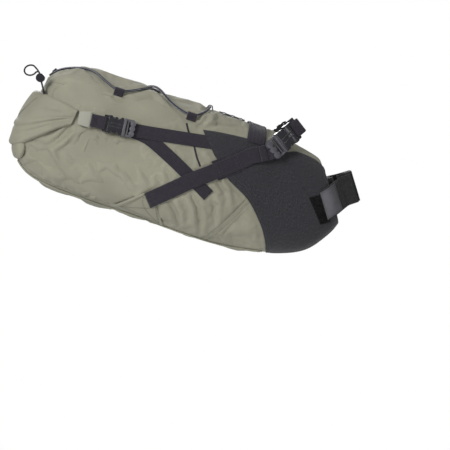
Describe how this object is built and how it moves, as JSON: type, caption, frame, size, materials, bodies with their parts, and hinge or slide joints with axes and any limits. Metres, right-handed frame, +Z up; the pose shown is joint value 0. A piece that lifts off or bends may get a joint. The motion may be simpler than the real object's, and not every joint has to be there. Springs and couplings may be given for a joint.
{
  "type": "saddle bag",
  "caption": "Roll-top saddle bag that hangs from the saddle rails by buckled straps and grips the seatpost with a hook-and-loop strap.",
  "frame": {"origin": "centre of the seatpost strap's bore, on the seatpost's axis", "axes": "+X is the bicycle's direction of travel, +Z is up, -Y is the bicycle's right-hand side; the bag lies behind the seatpost, towards -X"},
  "size_m": [0.5654, 0.2014, 0.3121],
  "materials": {
    "shell_fabric": "grey-green coated woven nylon, fine weave, soft sheen",
    "tab_fabric": "lighter grey-green coated fabric",
    "panel_fabric": "black hard-wearing woven nylon",
    "webbing": "black polyester webbing with a ribbed weave",
    "buckle_plastic": "black moulded acetal with a soft shine",
    "adjuster_plastic": "dark grey moulded acetal",
    "cord": "black braided elastic cord with light flecks",
    "pull_cord": "plain black thin cord",
    "liner_fabric": "light grey coated taffeta",
    "stiffener_sheet": "black polyethylene sheet",
    "rubber": "black rubber-faced grip pad",
    "label_rubber": "dark grey rubber, blank",
    "hook_tape": "black hook-and-loop tape, fuzzy",
    "spring_steel": "spring wire"
  },
  "bodies": {
    "bag": {"shell_side_right": "shell_fabric", "shell_side_left": "shell_fabric", "shell_top": "shell_fabric", "shell_floor": "shell_fabric", "shell_nose": "shell_fabric", "side_panel_right": "panel_fabric", "side_panel_left": "panel_fabric", "bottom_panel": "panel_fabric", "bottom_stiffener": "stiffener_sheet", "bottom_piping": "shell_fabric", "seam_binding": "webbing", "inner_dry_bag": "liner_fabric", "inner_bag_roll": "liner_fabric", "air_valve_body": "stiffener_sheet", "roll_outer_layer": "shell_fabric", "roll_inner_layer": "shell_fabric", "closure_stiffener": "stiffener_sheet", "end_tab_right": "tab_fabric", "end_tab_left": "tab_fabric", "tab_webbing_right": "webbing", "tab_webbing_left": "webbing", "compression_socket_right": "buckle_plastic", "compression_socket_left": "buckle_plastic", "compression_strap_right": "webbing", "compression_strap_left": "webbing", "strap_anchor_right": "shell_fabric", "strap_anchor_left": "shell_fabric", "saddle_strap_right": "webbing", "saddle_strap_left": "webbing", "strap_reinforcement_right": "webbing", "strap_reinforcement_left": "webbing", "top_yoke": "webbing", "saddle_socket_right": "buckle_plastic", "saddle_socket_left": "buckle_plastic", "rail_loop_right": "webbing", "rail_loop_left": "webbing", "daisy_band": "webbing", "bungee_cord": "cord", "cord_tabs": "webbing", "pull_cord": "pull_cord", "pull_cord_anchor": "webbing", "cord_lock_barrel": "buckle_plastic", "cord_lock_spring": "spring_steel", "seatpost_pad": "rubber", "seatpost_strap": "webbing", "hook_patch": "hook_tape"},
    "compression_plug_right": {"compression_plug_right": "adjuster_plastic", "compression_prongs_right": "buckle_plastic", "compression_tail_right": "webbing"},
    "compression_plug_left": {"compression_plug_left": "adjuster_plastic", "compression_prongs_left": "buckle_plastic", "compression_tail_left": "webbing"},
    "saddle_plug_right": {"saddle_plug_right": "adjuster_plastic", "saddle_prongs_right": "buckle_plastic"},
    "saddle_plug_left": {"saddle_plug_left": "adjuster_plastic", "saddle_prongs_left": "buckle_plastic"},
    "seatpost_flap": {"seatpost_flap": "webbing", "strap_label": "label_rubber"},
    "cord_lock_button": {"cord_lock_button": "adjuster_plastic"},
    "air_valve_button": {"air_valve_button": "adjuster_plastic"}
  },
  "joints": [
    {"name": "compression_buckle_right", "type": "slide", "parent": "bag", "child": "compression_plug_right", "axis": [0.9759, 0, -0.2181], "range_m": [0, 0.03], "deforming": ["compression_prongs_right", "compression_tail_right", "compression_strap_right"]},
    {"name": "compression_buckle_left", "type": "slide", "parent": "bag", "child": "compression_plug_left", "axis": [0.9759, 0, -0.2181], "range_m": [0, 0.03], "deforming": ["compression_prongs_left", "compression_tail_left", "compression_strap_left"]},
    {"name": "saddle_buckle_right", "type": "slide", "parent": "bag", "child": "saddle_plug_right", "axis": [-0.6917, -0.4283, -0.5814], "range_m": [0, 0.035], "deforming": ["saddle_prongs_right", "saddle_strap_right"]},
    {"name": "saddle_buckle_left", "type": "slide", "parent": "bag", "child": "saddle_plug_left", "axis": [-0.6917, 0.4283, -0.5814], "range_m": [0, 0.035], "deforming": ["saddle_prongs_left", "saddle_strap_left"]},
    {"name": "seatpost_flap_open", "type": "hinge", "parent": "bag", "child": "seatpost_flap", "pos_m": [0.02008, -0.0204, 0.00614], "axis": [-0.2924, 0, 0.9563], "range_deg": [0, 110]},
    {"name": "cord_lock_press", "type": "slide", "parent": "bag", "child": "cord_lock_button", "axis": [0, -1, 0], "range_m": [0, 0.002], "stiffness_N_per_m": 1500, "springref_m": -0.001, "deforming": ["cord_lock_spring"]},
    {"name": "air_valve_press", "type": "slide", "parent": "bag", "child": "air_valve_button", "axis": [-0.9984, 0, -0.0568], "range_m": [0, 0.002], "stiffness_N_per_m": 600, "springref_m": -0.001}
  ]
}
